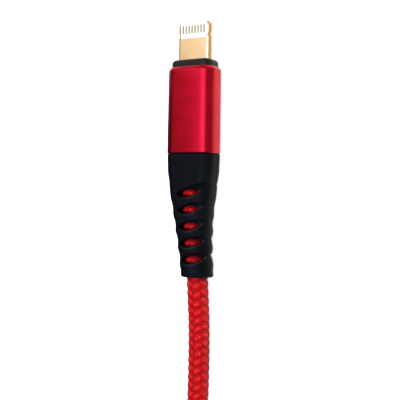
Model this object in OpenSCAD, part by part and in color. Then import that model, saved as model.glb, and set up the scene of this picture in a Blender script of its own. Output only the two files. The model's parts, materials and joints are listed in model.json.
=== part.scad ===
// Charging cable with a braided sleeve: a slim reversible device plug on one end,
// a flat rectangular host plug on the other, and the spare length tied in a hank.
// The device plug lies flat on its wide face, with its contact tab towards +Y.

/* [Device tab] */
// Width of the contact tab
tab_w = 6.7; // [6.4:0.1:7]
// Thickness of the contact tab
tab_t = 1.5; // [1.4:0.05:1.6]
// How far the tab stands out of the collar
tab_reach = 6.8; // [6.4:0.1:7.4]
// Centre-to-centre spacing of the contacts
contact_pitch = 0.6; // [0.5:0.05:0.62]

/* [Device shell] */
// Width of the aluminium shell
shell_w = 9.2; // [9:0.1:10]
// Thickness of the aluminium shell
shell_t = 5.8; // [5.6:0.1:6.4]
// Length of the aluminium shell
shell_len = 15.3; // [15:0.1:18]
// How far the collar stands out of the shell
collar_lip = 1.1; // [0.5:0.1:1.2]

/* [Boots] */
// Length of each strain relief boot
boot_len = 21.8; // [20:0.1:26]
// Outer diameter of a boot's plain end
boot_end_d = 5.65; // [5.3:0.05:6]
// Number of windows in a row along a boot
window_count = 5; // [3:1:5]
// Sideways bend of the device boot at its end
boot_bend = 1.15; // [0:0.05:1.3]

/* [Cord] */
// Diameter of the braided cord
cord_d = 3.5; // [3.4:0.05:3.6]
// Length of the hank's straight runs
hank_run = 56; // [53:0.5:60]

/* [Host plug] */
// Width of the plug's metal shell
host_w = 12; // [12:0.1:12.2]
// Thickness of the plug's metal shell
host_t = 4.5; // [4.4:0.1:4.6]
// How far the metal shell stands out of its collar
host_reach = 12; // [11.75:0.05:12.5]
// Width of the host plug's aluminium cover
cover_w = 15.6; // [15.4:0.1:16.4]
// Thickness of the host plug's aluminium cover
cover_t = 7.8; // [7.6:0.1:8.4]
// Length of the host plug's aluminium cover
cover_len = 19; // [18:0.5:24]

/* [Tie] */
// Width of the strap round the hank
tie_w = 9; // [6:0.5:12]
// Thickness of the strap
tie_t = 0.8; // [0.6:0.1:1.2]

/* [Hidden] */
$fn = 48;

// Stations along the device plug, from the tab's tip back to the boot's end
plug_len = tab_reach + collar_lip + shell_len + boot_len;
tip_y = plug_len / 2;
collar_y = tip_y - tab_reach;
shell_front_y = collar_y - collar_lip;
shell_back_y = shell_front_y - shell_len;
boot_end_y = shell_back_y - boot_len;
axis_z = shell_t / 2;

shell_r = 2;
shell_wall = 0.6;
shell_chamfer = 0.45;
bore_w = shell_w - 2 * shell_wall;
bore_t = shell_t - 2 * shell_wall;
bore_r = shell_r - shell_wall;

// Contact tab and what it carries
tab_root = 3.2;
tab_back_y = collar_y - tab_root;
tip_opening_w = 5.3;
tip_opening_len = 2.9;
tongue_w = 5;
tongue_t = 0.9;
detent_d = 1.4;
detent_depth = 0.25;
detent_from_tip = 2.9;
contact_count = 8;
contact_w = 0.3;
contact_len = 1.45;
contact_from_tip = 0.65;
contact_t = 0.12;
tail_z = 0.3;
tail_reach = 1.2;

// Collar and inner moulding
collar_back_y = collar_y - 2.4;
moulding_back_y = shell_back_y + 2.2;
cavity_w = 7;
cavity_t = 3.2;
cavity_back_y = moulding_back_y + 1.7;
cavity_front_y = tab_back_y;

// Circuit board
board_t = 0.6;
board_back_y = cavity_back_y + 2;
board_front_y = tab_back_y - 0.1;
chip_w = 2.4;
chip_t = 0.7;
chip_y = board_front_y - 3.4;

// Wires
wire_d = 0.7;
wire_start = 0.55;
wire_end_x = 1.6;
wire_end_z = board_t / 2 + wire_d / 2 + 0.07;
wire_end_y = board_back_y + 0.8;
solder_d = 1;

// Boots
boot_w = shell_w - 0.4;
boot_t = shell_t - 0.4;
boot_nose = 2.2;
boot_wall_r = 1.9;
window_pitch = 2.9;
window_first = 6.95;
window_len = 1.5;
window_w = 3;
window_turn = 8;
window_sides = 8;
cord_bite = 0.05;
boot_steps = 6;
boot_sides = 24;

// Hank: turns lie beside and on each other, one cord apart
hank_inner_r = 11;
hank_outer_r = hank_inner_r + cord_d;
hank_end_y = -80;
hank_far_y = hank_end_y - hank_run;
waist_half = 2 * cord_d;
hank_edge = hank_outer_r + cord_d / 2;
hank_layers = 2 * cord_d + tie_t;
loop_rise = 2 * cord_d;
loop_end_x = -9;
loop_r = (hank_outer_r - loop_end_x) / 2;
outline_steps = 24;

// Host plug, built pointing +Y from the cord's entry and then turned to face -Y, on the hank
tie_clearance = 0.4;
host_entry = [-3.5, hank_end_y - 16, hank_layers + tie_t + tie_clearance + cover_t / 2];
host_boot_end = boot_len;
host_cover_front = host_boot_end + cover_len;
host_collar_front = host_cover_front + collar_lip;
host_tip = host_collar_front + host_reach;
cover_r = 2.4;
cover_wall = 0.7;
host_bore_w = cover_w - 2 * cover_wall;
host_bore_t = cover_t - 2 * cover_wall;
host_bore_r = cover_r - cover_wall;
host_wall = 0.3;
host_shell_back = host_tip - 18.75;
host_collar_back = host_cover_front - 2;
host_moulding_back = host_boot_end + boot_nose;
host_cavity_back = host_moulding_back + 1.7;
host_tongue_t = 1.9;
host_tongue_front = host_tip - 0.9;
host_contact_xs = [-3.5, -1, 1, 3.5];
host_contact_w = 1;
host_contact_t = 0.2;
host_wire_zs = [-wire_start, wire_start, wire_start, -wire_start];

// Route of the stretch from the device boot to the hank
lead_route = [
    [1.17, -22.7, 2.9], [1.29, -26, 2.75], [1.26, -30, 2.3], [1.13, -34, 1.9],
    [1.06, -38, 1.75], [1.02, -42, 1.75], [0.85, -46, 1.75], [0, -50, 1.75],
    [-1.8, -54, 1.75], [-4.6, -58, 1.75], [-8, -62, 1.75], [-11.2, -66, 1.75],
    [-13.3, -70, 1.75], [-14.3, -74, 1.75], [-14.5, -78, 1.75], [-14.5, -81, 1.75]
];

// Route of the stretch from the hank's last loop to the host boot
tail_route = [
    [-9, -73, 8.75], [-8.95, -75, 8.85], [-8.6, -78, 9.3], [-7.8, -81, 10.05], [-6.7, -84, 10.9],
    [-5.6, -87, 11.75], [-4.6, -90, 12.4], [-3.8, -93, 12.8], [-3.5, -95.7, 12.9]
];

// ---------------------------------------------------------------- helpers

// Half-width of the hank's outline a part u of the way along its runs
function waisted(wide, narrow, u) = wide - (wide - narrow) * pow(sin(180 * u), 2);

// Share of a boot's sideways bend that it has a part s of the way along it
function boot_lean(s) = pow(s, 4) * (3 - 2 * s);

// Direction of a route at point i, or the given one at its two ends
function heading(route, i, first, last) =
    i == 0 ? first :
    i == len(route) - 1 ? last :
    let (step = route[i + 1] - route[i - 1]) step / norm(step);

// Points of a ring of radius r round a point p, square to direction t
function ring(p, t, r, sides) =
    let (side = cross(t, [0, 0, 1]), across = side / norm(side), up = cross(across, t))
    [for (k = [0:sides - 1]) p + r * (cos(360 * k / sides) * across + sin(360 * k / sides) * up)];

// Closed skin over rings of the same number of points, given one ring after another
module skin(points, sides) {
    rings = len(points) / sides;
    walls = [
        for (i = [0:rings - 2], k = [0:sides - 1])
            let (next = (k + 1) % sides)
            [i * sides + next, (i + 1) * sides + next, (i + 1) * sides + k, i * sides + k]
    ];
    start = [for (k = [sides - 1:-1:0]) k];
    end = [for (k = [0:sides - 1]) (rings - 1) * sides + k];
    polyhedron(points, concat(walls, [start], [end]));
}

// Tube of diameter d along a route, with flat ends square to the given directions
module tube(route, d, sides, first, last) {
    skin([for (i = [0:len(route) - 1]) each ring(route[i], heading(route, i, first, last), d / 2, sides)],
         sides);
}

// Flat outline of a rectangle with round corners
module rounded_outline(w, t, r) {
    square([w - 2 * r, t], center = true);
    if (t > 2 * r) square([w, t - 2 * r], center = true);
    for (x = [-1, 1], y = [-1, 1])
        translate([x * (w / 2 - r), y * (t / 2 - r)]) circle(r);
}

// Bar of that outline along Y, from y0 to y1, centred on x = z = 0
module bar(w, t, r, y0, y1) {
    translate([0, y1, 0]) rotate([90, 0, 0]) linear_extrude(y1 - y0) rounded_outline(w, t, r);
}

// Square block between two y values, centred on x = 0, from z0 to z1
module block(w, y0, y1, z0, z1) {
    translate([-w / 2, y0, z0]) cube([w, y1 - y0, z1 - z0]);
}

// Bar whose edges at its y1 end are bevelled by c
module bevelled_bar(w, t, r, y0, y1, c) {
    intersection() {
        bar(w, t, r, y0, y1);
        translate([0, 0, -t]) linear_extrude(2 * t)
            polygon([[-w / 2, y0], [w / 2, y0], [w / 2, y1 - c], [w / 2 - c, y1],
                     [c - w / 2, y1], [-w / 2, y1 - c]]);
        translate([-w, 0, 0]) rotate([90, 0, 90]) linear_extrude(2 * w)
            polygon([[y0, -t / 2], [y0, t / 2], [y1 - c, t / 2], [y1, t / 2 - c],
                     [y1, c - t / 2], [y1 - c, -t / 2]]);
    }
}

// Round rod of diameter d between two points
module rod(from, to, d) {
    run = to - from;
    translate(from)
        rotate([0, acos(run[2] / norm(run)), atan2(run[1], run[0])])
            cylinder(d = d, h = norm(run));
}

// Moves a piece from the device plug's axis up to its place
module on_axis() {
    translate([0, 0, axis_z]) children();
}

// ---------------------------------------------------------------- device plug

module plug_tab() {
    color("goldenrod") on_axis() difference() {
        bar(tab_w, tab_t, tab_t / 2, tab_back_y, tip_y);
        block(tip_opening_w, tip_y - tip_opening_len, tip_y + 1, -tab_t, tab_t);
        block(tongue_w, tab_back_y - 1, tip_y, -tongue_t / 2, tongue_t / 2);
        for (side = [-1, 1])
            translate([side * (tab_w / 2 - detent_depth + detent_d / 2), tip_y - detent_from_tip, -tab_t])
                cylinder(d = detent_d, h = 2 * tab_t);
    }
}

// One row of contacts: pads on the face, each with a tail that runs back to the board
module contact_row(side) {
    pad_front = tip_y - contact_from_tip;
    pad_back = pad_front - contact_len;
    for (k = [0:contact_count - 1])
        translate([(k - (contact_count - 1) / 2) * contact_pitch, 0, 0])
            mirror([0, 0, side < 0 ? 1 : 0]) {
                block(contact_w, pad_back, pad_front, tab_t / 2 - contact_t, tab_t / 2);
                block(contact_w, pad_back, pad_back + contact_t, tail_z, tab_t / 2);
                block(contact_w, tab_back_y - tail_reach, pad_back + contact_t, tail_z, tail_z + contact_t);
            }
}

module contact_block() {
    color("white") on_axis() difference() {
        union() {
            block(tip_opening_w, tip_y - tip_opening_len, tip_y, -tab_t / 2, tab_t / 2);
            block(tongue_w, tab_back_y, tip_y - tip_opening_len, -tongue_t / 2, tongue_t / 2);
        }
        contact_row(1);
        contact_row(-1);
    }
}

module front_contacts() {
    color("gold") on_axis() contact_row(1);
}

module rear_contacts() {
    color("gold") on_axis() contact_row(-1);
}

module collar() {
    color("black") on_axis() difference() {
        bevelled_bar(bore_w, bore_t, bore_r, collar_back_y, collar_y, 0.3);
        bar(tab_w, tab_t, tab_t / 2, collar_back_y - 1, collar_y + 1);
    }
}

module aluminium_shell() {
    color("crimson") on_axis() difference() {
        bevelled_bar(shell_w, shell_t, shell_r, shell_back_y, shell_front_y, shell_chamfer);
        bar(bore_w, bore_t, bore_r, shell_back_y - 1, shell_front_y + 1);
    }
}

module inner_moulding() {
    color("ivory") on_axis() difference() {
        bar(bore_w, bore_t, bore_r, moulding_back_y, collar_back_y);
        bar(tab_w, tab_t, tab_t / 2, cavity_front_y - 1, collar_back_y + 1);
        block(cavity_w, cavity_back_y, cavity_front_y, -cavity_t / 2, cavity_t / 2);
        rod([0, moulding_back_y - 1, 0], [0, cavity_back_y + 1, 0], cord_d + 1);
    }
}

module circuit_board() {
    color("darkgreen") on_axis() block(cavity_w, board_back_y, board_front_y, -board_t / 2, board_t / 2);
}

module controller_chip() {
    color("dimgray") on_axis()
        block(chip_w, chip_y - chip_w / 2, chip_y + chip_w / 2, board_t / 2, board_t / 2 + chip_t);
}

module power_chip() {
    color("dimgray") on_axis()
        block(1.8, chip_y - 0.9, chip_y + 0.9, -board_t / 2 - chip_t, -board_t / 2);
}

module board_capacitors() {
    color("tan") on_axis()
        for (x = [-2.4, 2.4], side = [-1, 1])
            translate([x, 0, 0])
                block(0.6, chip_y - 0.5, chip_y + 0.5, side > 0 ? board_t / 2 : -board_t / 2 - 0.5,
                      side > 0 ? board_t / 2 + 0.5 : -board_t / 2);
}

module solder_joints() {
    color("silver") on_axis()
        for (x = [-1, 1], side = [-1, 1])
            translate([x * wire_end_x, wire_end_y, side > 0 ? board_t / 2 : -board_t / 2 - solder_d])
                cylinder(d = solder_d, h = solder_d);
}

// One insulated wire from the cord's cut end to its joint on the board
module device_wire(x, side) {
    on_axis() intersection() {
        rod([x * wire_start, cavity_back_y - 0.7, side * wire_start],
            [x * wire_end_x, wire_end_y, side * wire_end_z], wire_d);
        block(cavity_w, cavity_back_y, board_front_y, -cavity_t, cavity_t);
    }
}

module power_wire() {
    color("red") device_wire(-1, 1);
}

module ground_wire() {
    color("black") device_wire(1, 1);
}

module data_plus_wire() {
    color("green") device_wire(-1, -1);
}

module data_minus_wire() {
    color("white") device_wire(1, -1);
}

module cord_clamp() {
    color("silver") on_axis() difference() {
        rod([0, moulding_back_y, 0], [0, cavity_back_y, 0], cord_d + 1);
        rod([0, moulding_back_y - 1, 0], [0, cavity_back_y + 1, 0], cord_d);
    }
}

// Route of the cord inside the device boot, from the boot's end into the shell
boot_route = [
    for (k = [0:boot_steps])
        let (s = 1 - k / boot_steps)
        [boot_bend * boot_lean(s), shell_back_y - s * boot_len, axis_z],
    [0, cavity_back_y, axis_z]
];

module boot_cord() {
    color("red") tube(boot_route, cord_d, 12, [0, 1, 0], [0, 1, 0]);
}

// How far a boot's section has gone from its mouth to its round end, a part s of the way along
function boot_taper(s) =
    let (u = min(1, max(0, (s - 0.12) / 0.7)))
    u * u * (3 - 2 * u);

// Ring of points round a boot's section, w by t with corner radius r, centred on [x, y]
function boot_ring(x, y, w, t, r) =
    [for (k = [0:boot_sides - 1])
        let (a = 360 * (k + 0.5) / boot_sides)
        [x + sign(cos(a)) * (w / 2 - r) + r * cos(a), y, sign(sin(a)) * (t / 2 - r) + r * sin(a)]];

// Boot from its round end up to its w by t mouth at y = 0, with the nose that goes in the shell
module boot_body(w, t, bend, nose_w, nose_t, nose_r) {
    skin(concat(
        [for (i = [boot_steps:-1:0])
            let (s = i / boot_steps, u = boot_taper(s))
            each boot_ring(bend * boot_lean(s), -s * boot_len, w + (boot_end_d - w) * u,
                           t + (boot_end_d - t) * u, boot_wall_r + (boot_end_d / 2 - boot_wall_r) * u)],
        boot_ring(0, 0, nose_w, nose_t, nose_r),
        boot_ring(0, boot_nose, nose_w, nose_t, nose_r)
    ), boot_sides);
}

// Bore for the cord, all the way through a boot
module boot_bore(bend) {
    d = cord_d - 2 * cord_bite;
    skin(concat(
        boot_ring(bend, -boot_len - 1, d, d, d / 2),
        [for (i = [boot_steps:-1:0])
            let (s = i / boot_steps)
            each boot_ring(bend * boot_lean(s), -s * boot_len, d, d, d / 2)],
        boot_ring(0, boot_nose + 1, d, d, d / 2)
    ), boot_sides);
}

// Windows down the two sides of a boot, in pairs
module boot_windows(bend) {
    for (k = [0:window_count - 1], half = [0, 1]) {
        along = window_first + k * window_pitch;
        translate([bend * boot_lean(along / boot_len), -along, 0])
            rotate([0, window_turn + 180 * half, 0])
                linear_extrude(shell_w)
                    scale([window_w / window_len, 1])
                        circle(d = window_len, $fn = window_sides);
    }
}

// Boot with its bore and windows; its mouth is at y = 0
module boot_rubber(w, t, bend, nose_w, nose_t, nose_r) {
    difference() {
        boot_body(w, t, bend, nose_w, nose_t, nose_r);
        boot_bore(bend);
        boot_windows(bend);
    }
}

module boot() {
    color("black") translate([0, shell_back_y, axis_z])
        boot_rubber(boot_w, boot_t, boot_bend, bore_w, bore_t, bore_r);
}

// ---------------------------------------------------------------- cord

module cord_lead() {
    color("red") tube(concat([[boot_bend, boot_end_y, axis_z]], lead_route), cord_d, 8,
                      [0, -1, 0], [0, -1, 0]);
}

module cord_tail() {
    color("red") tube(concat(tail_route, [host_entry]), cord_d, 8, [0, -1, 0], [0, -1, 0]);
}

// Flat shape between two edges that follow the hank's waist
module waisted_strip(wide_0, narrow_0, wide_1, narrow_1) {
    polygon(concat(
        [for (k = [0:outline_steps])
            [waisted(wide_0, narrow_0, k / outline_steps), hank_end_y - hank_run * k / outline_steps]],
        [for (k = [outline_steps:-1:0])
            [waisted(wide_1, narrow_1, k / outline_steps), hank_end_y - hank_run * k / outline_steps]]
    ));
}

module cord_hank() {
    color("red") difference() {
        union() {
            linear_extrude(hank_layers) {
                waisted_strip(-hank_edge, -waist_half, hank_edge, waist_half);
                translate([0, hank_far_y]) circle(hank_edge);
                translate([0, hank_end_y]) circle(hank_edge);
                translate([0, hank_end_y + cord_d]) circle(hank_edge - cord_d / 2);
            }
            // The last loop, which climbs to the top
            translate([hank_outer_r - loop_r, hank_end_y + loop_rise, cord_d])
                linear_extrude(2 * cord_d) intersection() {
                    difference() {
                        circle(loop_r + cord_d / 2);
                        circle(loop_r - cord_d / 2);
                    }
                    translate([-hank_edge, 0]) square([2 * hank_edge, hank_edge]);
                }
        }
        translate([-hank_edge, (hank_end_y + hank_far_y - tie_w) / 2, -1])
            cube([2 * hank_edge, tie_w, 1 + tie_t]);
    }
}

// Outline of the strap round the hank's waist, grown outwards by g
module tie_outline(g) {
    side = waist_half + 0.3 + g;
    polygon([[-side, tie_t - g], [side, tie_t - g], [side, hank_layers - 1], [side - 1, hank_layers + g],
             [1 - side, hank_layers + g], [-side, hank_layers - 1]]);
}

module cable_tie() {
    color("dimgray") translate([0, (hank_end_y + hank_far_y + tie_w) / 2, 0])
        rotate([90, 0, 0]) linear_extrude(tie_w) difference() {
            tie_outline(tie_t);
            tie_outline(0);
        }
}

// ---------------------------------------------------------------- host plug

// Turns a piece built along +Y from the cord's entry to its place past the hank
module host_place() {
    translate(host_entry) rotate([0, 0, 180]) children();
}

module host_shell() {
    color("silver") host_place() difference() {
        block(host_w, host_shell_back, host_tip, -host_t / 2, host_t / 2);
        block(host_w - 2 * host_wall, host_shell_back - 1, host_tip + 1,
              host_wall - host_t / 2, host_t / 2 - host_wall);
        for (x = [-1, 1])
            translate([x * 2.8, 0, 0]) block(2.5, host_tip - 6.2, host_tip - 4.2, -host_t, host_t);
    }
}

module host_tongue() {
    color("white") host_place() difference() {
        union() {
            block(host_w - 2 * host_wall, host_shell_back, host_tongue_front,
                  host_wall - host_t / 2, host_wall - host_t / 2 + host_tongue_t);
            block(host_w - 2 * host_wall, host_shell_back, host_collar_front - 1,
                  host_wall - host_t / 2, host_t / 2 - host_wall);
        }
        host_contact_row();
    }
}

// Four contacts on the tongue, the outer two longer, with tails out of its back
module host_contact_row() {
    top = host_wall - host_t / 2 + host_tongue_t;
    for (k = [0:3])
        translate([host_contact_xs[k], 0, 0])
            block(host_contact_w, host_shell_back - 1.6,
                  host_tongue_front - (abs(host_contact_xs[k]) > 2 ? 0.6 : 1.6),
                  top - host_contact_t, top);
}

module host_contacts() {
    color("gold") host_place() host_contact_row();
}

module host_collar() {
    color("black") host_place() difference() {
        bevelled_bar(host_bore_w, host_bore_t, host_bore_r, host_collar_back, host_collar_front, 0.3);
        block(host_w, host_collar_back - 1, host_collar_front + 1, -host_t / 2, host_t / 2);
    }
}

module host_cover() {
    color("crimson") host_place() difference() {
        bevelled_bar(cover_w, cover_t, cover_r, host_boot_end, host_cover_front, shell_chamfer);
        bar(host_bore_w, host_bore_t, host_bore_r, host_boot_end - 1, host_cover_front + 1);
    }
}

module host_moulding() {
    color("ivory") host_place() difference() {
        bar(host_bore_w, host_bore_t, host_bore_r, host_moulding_back, host_collar_back);
        block(host_w, host_shell_back, host_collar_back + 1, -host_t / 2, host_t / 2);
        block(host_w - 2, host_cavity_back, host_shell_back, -cavity_t / 2, cavity_t / 2);
        rod([0, host_moulding_back - 1, 0], [0, host_cavity_back + 1, 0], cord_d + 1);
    }
}

// One insulated wire from the cord's cut end to the tail of contact k
module host_wire(k) {
    start_x = (k < 2 ? -1 : 1) * wire_start;
    tail_top = host_wall - host_t / 2 + host_tongue_t;
    host_place() intersection() {
        rod([start_x, host_cavity_back - 0.7, host_wire_zs[k]],
            [host_contact_xs[k], host_shell_back - 0.7, tail_top + wire_d / 2 + 0.05], wire_d);
        block(host_w, host_cavity_back, host_shell_back, -cavity_t, cavity_t);
    }
}

module host_power_wire() {
    color("red") host_wire(0);
}

module host_data_minus_wire() {
    color("white") host_wire(1);
}

module host_data_plus_wire() {
    color("green") host_wire(2);
}

module host_ground_wire() {
    color("black") host_wire(3);
}

module host_solder_joints() {
    tail_top = host_wall - host_t / 2 + host_tongue_t;
    color("silver") host_place()
        for (x = host_contact_xs)
            translate([x, host_shell_back - 0.9, tail_top]) cylinder(d = solder_d, h = 0.8);
}

module host_cord_clamp() {
    color("silver") host_place() difference() {
        rod([0, host_moulding_back, 0], [0, host_cavity_back, 0], cord_d + 1);
        rod([0, host_moulding_back - 1, 0], [0, host_cavity_back + 1, 0], cord_d);
    }
}

module host_boot_cord() {
    color("red") host_place() rod([0, 0, 0], [0, host_cavity_back, 0], cord_d);
}

module host_boot() {
    color("black") host_place() translate([0, host_boot_end, 0])
        boot_rubber(cover_w - 0.6, cover_t - 0.6, 0, host_bore_w, host_bore_t, host_bore_r);
}

// ---------------------------------------------------------------- nodes

plug_tab();
contact_block();
front_contacts();
rear_contacts();
collar();
aluminium_shell();
inner_moulding();
circuit_board();
controller_chip();
power_chip();
board_capacitors();
solder_joints();
power_wire();
ground_wire();
data_plus_wire();
data_minus_wire();
cord_clamp();
boot_cord();
boot();
cord_lead();
cord_hank();
cord_tail();
cable_tie();
host_shell();
host_tongue();
host_contacts();
host_collar();
host_cover();
host_moulding();
host_power_wire();
host_ground_wire();
host_data_plus_wire();
host_data_minus_wire();
host_solder_joints();
host_cord_clamp();
host_boot_cord();
host_boot();
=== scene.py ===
"""Looks of the charging cable: the device plug lies flat and the spare cord is tied in a hank."""

import json
import math

import bpy
import numpy as np
import openvdb
from mathutils import Matrix, Vector

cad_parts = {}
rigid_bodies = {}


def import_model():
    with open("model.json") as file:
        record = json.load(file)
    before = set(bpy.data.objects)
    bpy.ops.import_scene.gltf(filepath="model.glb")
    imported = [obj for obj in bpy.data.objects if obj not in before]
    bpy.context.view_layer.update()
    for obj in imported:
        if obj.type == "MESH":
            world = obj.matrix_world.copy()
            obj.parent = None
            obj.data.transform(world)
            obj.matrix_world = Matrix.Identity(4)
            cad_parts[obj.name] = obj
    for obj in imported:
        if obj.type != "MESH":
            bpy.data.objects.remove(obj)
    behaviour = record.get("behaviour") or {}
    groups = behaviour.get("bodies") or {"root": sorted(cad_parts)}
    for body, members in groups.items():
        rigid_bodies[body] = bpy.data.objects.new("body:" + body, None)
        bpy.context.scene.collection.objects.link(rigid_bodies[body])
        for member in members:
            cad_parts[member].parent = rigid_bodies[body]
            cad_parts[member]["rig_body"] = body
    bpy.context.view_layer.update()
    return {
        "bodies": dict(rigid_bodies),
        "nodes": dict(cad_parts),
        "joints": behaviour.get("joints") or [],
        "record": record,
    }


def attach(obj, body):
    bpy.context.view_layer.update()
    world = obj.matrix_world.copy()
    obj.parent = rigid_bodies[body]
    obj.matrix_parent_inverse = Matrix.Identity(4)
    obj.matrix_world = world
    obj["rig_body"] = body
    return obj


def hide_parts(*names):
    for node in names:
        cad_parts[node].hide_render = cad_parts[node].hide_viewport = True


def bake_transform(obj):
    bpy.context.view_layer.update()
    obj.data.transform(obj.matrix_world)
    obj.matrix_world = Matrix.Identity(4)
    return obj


MM = 0.001

# Stations of the device plug along Y, and its axis's height, in mm and within 0.15 mm of the CAD source
TIP_Y = 22.65
COLLAR_Y = 15.8
SHELL_FRONT_Y = 14.5
SHELL_BACK_Y = -0.7
BOOT_LEN = 21.8
BOOT_END_Y = SHELL_BACK_Y - BOOT_LEN
AXIS_Z = 2.9
BOOT_BEND = 1.15

# Width, thickness and corner radius of the shells, collars, boots and the boots' hidden noses
DEVICE_SHELL = (9.2, 5.8, 2.0)
DEVICE_COLLAR = (7.98, 4.58, 1.39)
DEVICE_BOOT = (9.2, 5.5, 1.95)
DEVICE_NOSE = (7.9, 4.5, 1.35)
HOST_COVER = (15.6, 7.8, 2.4)
HOST_COLLAR = (14.18, 6.38, 1.69)
HOST_BOOT = (15.2, 7.1, 2.3)
HOST_NOSE = (14.0, 6.2, 1.65)
HOST_METAL = (12, 4.5, 0.6)

# Length of the host plug's cover, and how much wider both red shells are at their back
COVER_LEN = 19
SHELL_FLARE = 0.14

# Shell's round front shoulder, as (mm behind its front edge, inset)
SHOULDER = (
    (2, 0), (0.9, 0), (0.62, 0.0), (0.55, 0.012), (0.48, 0.045), (0.1, 0.33), (0.05, 0.375),
    (0.012, 0.43), (0, 0.49),
)

# Tab: its corners at the tip, its rounded front edge, and the round detent in each side
TAB_W = 6.7
TAB_T = 1.5
TAB_CORNER = 0.85
TAB_EDGE = 0.3
DETENT_BEHIND_TIP = 2.4
DETENT_R = 0.7
DETENT_CENTRE_X = 3.93
TAB_GAP_HALF_W = 2.66
INSULATOR_BACK_Y = 19.6
INSULATOR_HALF_W = 2.64
INSULATOR_EDGE = 0.28

# Contacts on each face, and the slots they sit in
CONTACTS = 8
CONTACT_PITCH = 0.6
SLOT_MARGIN = 0.03
SLOT_DEPTH = 0.05

# Boots
BOOT_NOSE = 2.0
BOOT_END_R = 2.88
WINDOWS = 5
WINDOW_FIRST = 6.95
WINDOW_PITCH = 2.9
WINDOW_TURN = math.radians(7)
WINDOW_TILT = 5
WINDOW_HALF = 2.2
WINDOW_RISE = 0.72
RIB_SHIFT = 0.5

# Slanted groove at each window, as (tilt in degrees, half length, shift along it)
FIRST_GROOVE = (20, 3.9, 0.9)
GROOVE = (15, 3.0, 0.3)
GROOVE_DEPTH = 1.0

# How the painted light fades under a window's edge, and the painted highlight on the lip below it
LIGHT_HALF = 2.1
LIGHT_FADE = 0.68
LIP_GAP = 0.2
LIP_WIDTH = 0.12
LIP_LIFT = 0.12

# Cord and hank
CORD_R = 1.75
CORD_D = 2 * CORD_R
HANK_END_Y = -80.0
HANK_RUN = 56.0
HANK_FAR_Y = HANK_END_Y - HANK_RUN
HANK_INNER = 11.0
HANK_OUTER = HANK_INNER + CORD_D
HOST_ENTRY = np.array((-3.5, HANK_END_Y - 16, 12.9))
LEAD_ROUTE = (
    (1.15, -22.5, 2.9), (1.29, -26, 2.75), (1.26, -30, 2.3), (1.13, -34, 1.9),
    (1.06, -38, 1.75), (1.02, -42, 1.75), (0.85, -46, 1.75), (0, -50, 1.75),
    (-1.8, -54, 1.75), (-4.6, -58, 1.75), (-8, -62, 1.75), (-11.2, -66, 1.75),
    (-13.3, -70, 1.75), (-14.3, -74, 1.75), (-14.5, -78, 1.75),
)
TAIL_ROUTE = (
    (-9, -73, 8.75), (-8.95, -75, 8.85), (-8.6, -78, 9.3), (-7.8, -81, 10.05), (-6.7, -84, 10.9),
    (-5.6, -87, 11.75), (-4.6, -90, 12.4), (-3.8, -93, 12.8), (-3.5, -95.7, 12.9), (-3.5, -96, 12.9),
)

# Braid: columns of floats round the cord, and how long one float is
COLUMNS = 8
FLOAT_LEN = 1.5
FLOAT_SLOPE = 0.34
FLOAT_SHIFT = 0.3
FLOAT_CROWN = 1.7
FLOAT_SIDE = 2.6
FLOAT_TIP = 0.35
FLOAT_YARNS = 4

# Braided tubes: relief of the yarns, and the mesh near the plug and in the hank
FINE_RELIEF = 0.14
FINE_STEP = 0.09
FINE_SIDES = 112
FINE_LEN = 30.0
COARSE_RELIEF = 0.1
COARSE_STEP = 0.5
COARSE_SIDES = 24
LINE_STEP = 0.25

# Value of "open" where no boot covers the cord; in a boot it is 0 to 1, 0 being full painted shade
NO_BOOT = 2.0

# Strap
STRAP_W = 9.0
STRAP_T = 0.78
STRAP_POINTS = 140

# Camera: its turn from straight up, roll, distance, width of view and aim
VIEW_DEGREES = 30
VIEW_ROLL = 0.95
VIEW_DISTANCE = 150
VIEW_WIDTH = 70.671378
AIM_Y = -8.85
AIM_RIGHT = 1.25
SENSOR = 36


# ---------------------------------------- mesh tools

def build(name, points, faces, material, sharp=None):
    """Mesh object from points in mm, smooth except along edges sharper than that many degrees."""
    mesh = bpy.data.meshes.new(name)
    mesh.from_pydata((np.asarray(points, float) * MM).tolist(), [], faces)
    mesh.validate()
    mesh.shade_smooth()
    if sharp:
        mesh.set_sharp_from_angle(angle=math.radians(sharp))
    mesh.materials.append(material)
    piece = bpy.data.objects.new(name, mesh)
    bpy.context.scene.collection.objects.link(piece)
    return piece


def quads(rows, sides, loop=False):
    """Faces between rows of points, each row a closed ring of so many sides."""
    i = np.arange(rows if loop else rows - 1)[:, None]
    j = (i + 1) % rows
    k = np.arange(sides)[None, :]
    n = (k + 1) % sides
    return np.stack([i * sides + k, j * sides + k, j * sides + n, i * sides + n], -1).reshape(-1, 4)


def skin(rings, loop=False):
    """Points and outward faces of a skin over rings round Y, capped at its ends unless it loops."""
    rings = np.asarray(rings, float)
    rows, sides = rings.shape[:2]
    faces = quads(rows, sides, loop).tolist()
    if not loop:
        faces.append(list(range(sides)))
        faces.append([(rows - 1) * sides + k for k in range(sides - 1, -1, -1)])
    return rings.reshape(-1, 3), faces


def outline(w, t, r, steps=12):
    """Points round a w by t rectangle with corner radius r, as (x, z)."""
    angle = np.radians(np.linspace(0, 90, steps + 1))
    corners = []
    for turn, x, z in ((0, 1, 1), (90, -1, 1), (180, -1, -1), (270, 1, -1)):
        a = angle + math.radians(turn)
        corners.append(np.stack([x * (w / 2 - r) + r * np.cos(a), z * (t / 2 - r) + r * np.sin(a)], 1))
    return np.concatenate(corners)


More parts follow.
